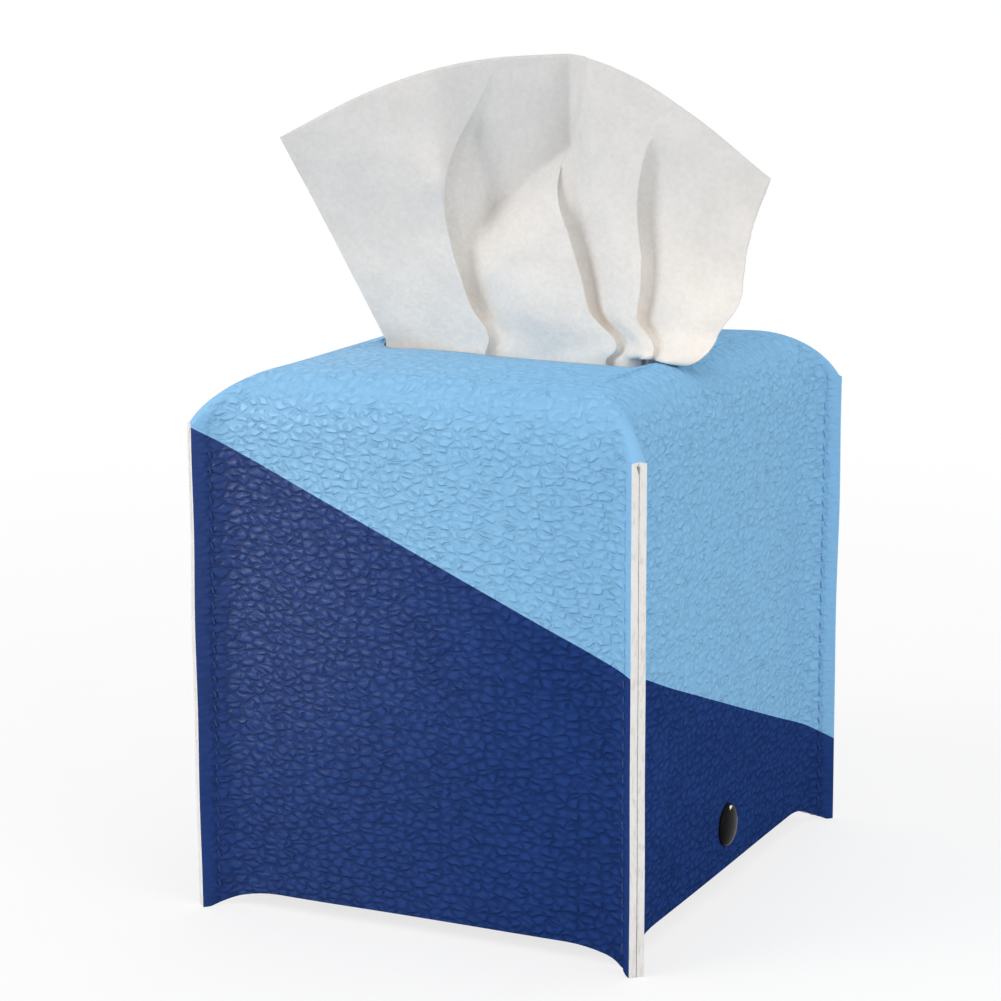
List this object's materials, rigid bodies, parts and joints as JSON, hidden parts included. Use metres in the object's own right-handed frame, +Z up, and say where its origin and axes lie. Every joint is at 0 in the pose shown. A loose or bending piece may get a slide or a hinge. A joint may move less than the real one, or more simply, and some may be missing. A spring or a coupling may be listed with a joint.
{
  "type": "tissue box cover",
  "caption": "Soft leather-look cover for an upright tissue carton, sewn up at its corners, with a slot in the top, a snap strap under the open bottom and a tissue standing in the slot.",
  "frame": {"origin": "on the table under the middle of the cover", "axes": "+X towards the right wall with the visible snap, +Y towards the back wall, +Z up out of the slot"},
  "size_m": [0.1356, 0.1546, 0.2341],
  "materials": {
    "printed_leather": "pebbled two-tone print, light blue over navy, with a white back and raw white edges",
    "seam_thread": "twisted thread in the print's colours",
    "black_enamel": "glossy black enamel",
    "snap_metal": "nickel plated",
    "spring_wire": "drawn wire",
    "strap_leather": "pebbled navy with a white back",
    "tissue_paper": "soft white tissue paper"
  },
  "bodies": {
    "cover": {"leather_cover": "printed_leather", "stitches_front_left": "seam_thread", "stitches_front_right": "seam_thread", "stitches_back_left": "seam_thread", "stitches_back_right": "seam_thread", "snap_cap_left": "black_enamel", "snap_socket_left": "snap_metal", "socket_spring_left": "spring_wire", "snap_cap_right": "black_enamel", "snap_socket_right": "snap_metal", "socket_spring_right": "spring_wire"},
    "strap": {"strap_run": "strap_leather"},
    "tissue": {"tissue": "tissue_paper"},
    "strap_end_left": {"strap_tab_left": "strap_leather", "snap_stud_left": "snap_metal", "stud_post_left": "black_enamel"},
    "strap_end_right": {"strap_tab_right": "strap_leather", "snap_stud_right": "snap_metal", "stud_post_right": "black_enamel"}
  },
  "joints": [
    {"name": "strap_swing", "type": "hinge", "parent": "cover", "child": "strap", "pos_m": [0, 0, 0.019], "axis": [1, 0, 0], "range_deg": [-90, 90]},
    {"name": "left_end_release", "type": "hinge", "parent": "strap", "child": "strap_end_left", "pos_m": [-0.0535, 0, 0.0096], "axis": [0, 1, 0], "range_deg": [0, 85]},
    {"name": "right_end_release", "type": "hinge", "parent": "strap", "child": "strap_end_right", "pos_m": [0.0535, 0, 0.0096], "axis": [0, -1, 0], "range_deg": [0, 85]},
    {"name": "tissue_pull", "type": "slide", "parent": "cover", "child": "tissue", "axis": [0, 0, 1], "range_m": [0, 0.1]}
  ]
}
